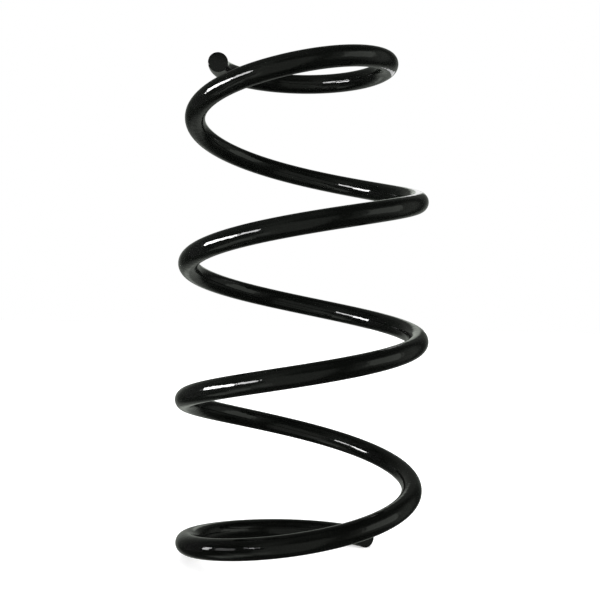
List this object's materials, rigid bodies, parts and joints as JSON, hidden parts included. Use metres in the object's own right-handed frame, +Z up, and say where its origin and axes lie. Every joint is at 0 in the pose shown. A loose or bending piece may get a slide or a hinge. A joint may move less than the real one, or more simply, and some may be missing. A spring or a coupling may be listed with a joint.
{
  "type": "coil spring",
  "caption": "Suspension coil spring: round steel bar wound right-handed, gloss black, with an open lower end and a smaller flat upper end coil.",
  "frame": {"origin": "the axis of the middle turns, at the height of the lower end coil's underside", "axes": "+Z up the spring's axis, from the open lower end to the smaller upper end coil; the side seen in the picture faces -Y, with the lower tip at the back right"},
  "size_m": [0.1616, 0.1616, 0.3257],
  "materials": {
    "spring_coat": "gloss black powder coat with a slight orange peel; the two square-cut tips are matt and rough under the coat"
  },
  "bodies": {
    "lower_end": {"lower_end_coil": "spring_coat"},
    "active_turn_1a": {"active_turn_1a": "spring_coat"},
    "active_turn_1b": {"active_turn_1b": "spring_coat"},
    "active_turn_1c": {"active_turn_1c": "spring_coat"},
    "active_turn_1d": {"active_turn_1d": "spring_coat"},
    "active_turn_1e": {"active_turn_1e": "spring_coat"},
    "active_turn_1f": {"active_turn_1f": "spring_coat"},
    "active_turn_1g": {"active_turn_1g": "spring_coat"},
    "active_turn_1h": {"active_turn_1h": "spring_coat"},
    "active_turn_2a": {"active_turn_2a": "spring_coat"},
    "active_turn_2b": {"active_turn_2b": "spring_coat"},
    "active_turn_2c": {"active_turn_2c": "spring_coat"},
    "active_turn_2d": {"active_turn_2d": "spring_coat"},
    "active_turn_2e": {"active_turn_2e": "spring_coat"},
    "active_turn_2f": {"active_turn_2f": "spring_coat"},
    "active_turn_2g": {"active_turn_2g": "spring_coat"},
    "active_turn_2h": {"active_turn_2h": "spring_coat"},
    "active_turn_3a": {"active_turn_3a": "spring_coat"},
    "active_turn_3b": {"active_turn_3b": "spring_coat"},
    "active_turn_3c": {"active_turn_3c": "spring_coat"},
    "active_turn_3d": {"active_turn_3d": "spring_coat"},
    "active_turn_3e": {"active_turn_3e": "spring_coat"},
    "active_turn_3f": {"active_turn_3f": "spring_coat"},
    "active_turn_3g": {"active_turn_3g": "spring_coat"},
    "active_turn_3h": {"active_turn_3h": "spring_coat"},
    "active_turn_4a": {"active_turn_4a": "spring_coat"},
    "active_turn_4b": {"active_turn_4b": "spring_coat"},
    "upper_end": {"upper_end_coil": "spring_coat"}
  },
  "joints": [
    {"name": "compression", "type": "slide", "parent": "lower_end", "child": "upper_end", "axis": [0, 0, -1], "range_m": [0, 0.15], "stiffness_N_per_m": 28700},
    {"name": "squeeze_1a", "type": "slide", "parent": "lower_end", "child": "active_turn_1a", "axis": [0, 0, -1], "range_m": [0, 0.00157]},
    {"name": "squeeze_1b", "type": "slide", "parent": "lower_end", "child": "active_turn_1b", "axis": [0, 0, -1], "range_m": [0, 0.00626]},
    {"name": "squeeze_1c", "type": "slide", "parent": "lower_end", "child": "active_turn_1c", "axis": [0, 0, -1], "range_m": [0, 0.0125]},
    {"name": "squeeze_1d", "type": "slide", "parent": "lower_end", "child": "active_turn_1d", "axis": [0, 0, -1], "range_m": [0, 0.01875]},
    {"name": "squeeze_1e", "type": "slide", "parent": "lower_end", "child": "active_turn_1e", "axis": [0, 0, -1], "range_m": [0, 0.02501]},
    {"name": "squeeze_1f", "type": "slide", "parent": "lower_end", "child": "active_turn_1f", "axis": [0, 0, -1], "range_m": [0, 0.03125]},
    {"name": "squeeze_1g", "type": "slide", "parent": "lower_end", "child": "active_turn_1g", "axis": [0, 0, -1], "range_m": [0, 0.0375]},
    {"name": "squeeze_1h", "type": "slide", "parent": "lower_end", "child": "active_turn_1h", "axis": [0, 0, -1], "range_m": [0, 0.04376]},
    {"name": "squeeze_2a", "type": "slide", "parent": "lower_end", "child": "active_turn_2a", "axis": [0, 0, -1], "range_m": [0, 0.05]},
    {"name": "squeeze_2b", "type": "slide", "parent": "lower_end", "child": "active_turn_2b", "axis": [0, 0, -1], "range_m": [0, 0.05625]},
    {"name": "squeeze_2c", "type": "slide", "parent": "lower_end", "child": "active_turn_2c", "axis": [0, 0, -1], "range_m": [0, 0.06251]},
    {"name": "squeeze_2d", "type": "slide", "parent": "lower_end", "child": "active_turn_2d", "axis": [0, 0, -1], "range_m": [0, 0.06875]},
    {"name": "squeeze_2e", "type": "slide", "parent": "lower_end", "child": "active_turn_2e", "axis": [0, 0, -1], "range_m": [0, 0.075]},
    {"name": "squeeze_2f", "type": "slide", "parent": "lower_end", "child": "active_turn_2f", "axis": [0, 0, -1], "range_m": [0, 0.08126]},
    {"name": "squeeze_2g", "type": "slide", "parent": "lower_end", "child": "active_turn_2g", "axis": [0, 0, -1], "range_m": [0, 0.0875]},
    {"name": "squeeze_2h", "type": "slide", "parent": "lower_end", "child": "active_turn_2h", "axis": [0, 0, -1], "range_m": [0, 0.09375]},
    {"name": "squeeze_3a", "type": "slide", "parent": "lower_end", "child": "active_turn_3a", "axis": [0, 0, -1], "range_m": [0, 0.10001]},
    {"name": "squeeze_3b", "type": "slide", "parent": "lower_end", "child": "active_turn_3b", "axis": [0, 0, -1], "range_m": [0, 0.10625]},
    {"name": "squeeze_3c", "type": "slide", "parent": "lower_end", "child": "active_turn_3c", "axis": [0, 0, -1], "range_m": [0, 0.1125]},
    {"name": "squeeze_3d", "type": "slide", "parent": "lower_end", "child": "active_turn_3d", "axis": [0, 0, -1], "range_m": [0, 0.11876]},
    {"name": "squeeze_3e", "type": "slide", "parent": "lower_end", "child": "active_turn_3e", "axis": [0, 0, -1], "range_m": [0, 0.125]},
    {"name": "squeeze_3f", "type": "slide", "parent": "lower_end", "child": "active_turn_3f", "axis": [0, 0, -1], "range_m": [0, 0.13125]},
    {"name": "squeeze_3g", "type": "slide", "parent": "lower_end", "child": "active_turn_3g", "axis": [0, 0, -1], "range_m": [0, 0.13751]},
    {"name": "squeeze_3h", "type": "slide", "parent": "lower_end", "child": "active_turn_3h", "axis": [0, 0, -1], "range_m": [0, 0.14375]},
    {"name": "squeeze_4a", "type": "slide", "parent": "lower_end", "child": "active_turn_4a", "axis": [0, 0, -1], "range_m": [0, 0.14844]},
    {"name": "squeeze_4b", "type": "slide", "parent": "lower_end", "child": "active_turn_4b", "axis": [0, 0, -1], "range_m": [0, 0.15]}
  ],
  "couplings": [
    {"joint": "squeeze_1a", "follows": "compression", "ratio": 0.010417},
    {"joint": "squeeze_1b", "follows": "compression", "ratio": 0.041667},
    {"joint": "squeeze_1c", "follows": "compression", "ratio": 0.083333},
    {"joint": "squeeze_1d", "follows": "compression", "ratio": 0.125},
    {"joint": "squeeze_1e", "follows": "compression", "ratio": 0.16667},
    {"joint": "squeeze_1f", "follows": "compression", "ratio": 0.20833},
    {"joint": "squeeze_1g", "follows": "compression", "ratio": 0.25},
    {"joint": "squeeze_1h", "follows": "compression", "ratio": 0.29167},
    {"joint": "squeeze_2a", "follows": "compression", "ratio": 0.33333},
    {"joint": "squeeze_2b", "follows": "compression", "ratio": 0.375},
    {"joint": "squeeze_2c", "follows": "compression", "ratio": 0.41667},
    {"joint": "squeeze_2d", "follows": "compression", "ratio": 0.45833},
    {"joint": "squeeze_2e", "follows": "compression", "ratio": 0.5},
    {"joint": "squeeze_2f", "follows": "compression", "ratio": 0.54167},
    {"joint": "squeeze_2g", "follows": "compression", "ratio": 0.58333},
    {"joint": "squeeze_2h", "follows": "compression", "ratio": 0.625},
    {"joint": "squeeze_3a", "follows": "compression", "ratio": 0.66667},
    {"joint": "squeeze_3b", "follows": "compression", "ratio": 0.70833},
    {"joint": "squeeze_3c", "follows": "compression", "ratio": 0.75},
    {"joint": "squeeze_3d", "follows": "compression", "ratio": 0.79167},
    {"joint": "squeeze_3e", "follows": "compression", "ratio": 0.83333},
    {"joint": "squeeze_3f", "follows": "compression", "ratio": 0.875},
    {"joint": "squeeze_3g", "follows": "compression", "ratio": 0.91667},
    {"joint": "squeeze_3h", "follows": "compression", "ratio": 0.95833},
    {"joint": "squeeze_4a", "follows": "compression", "ratio": 0.98958},
    {"joint": "squeeze_4b", "follows": "compression", "ratio": 1}
  ]
}
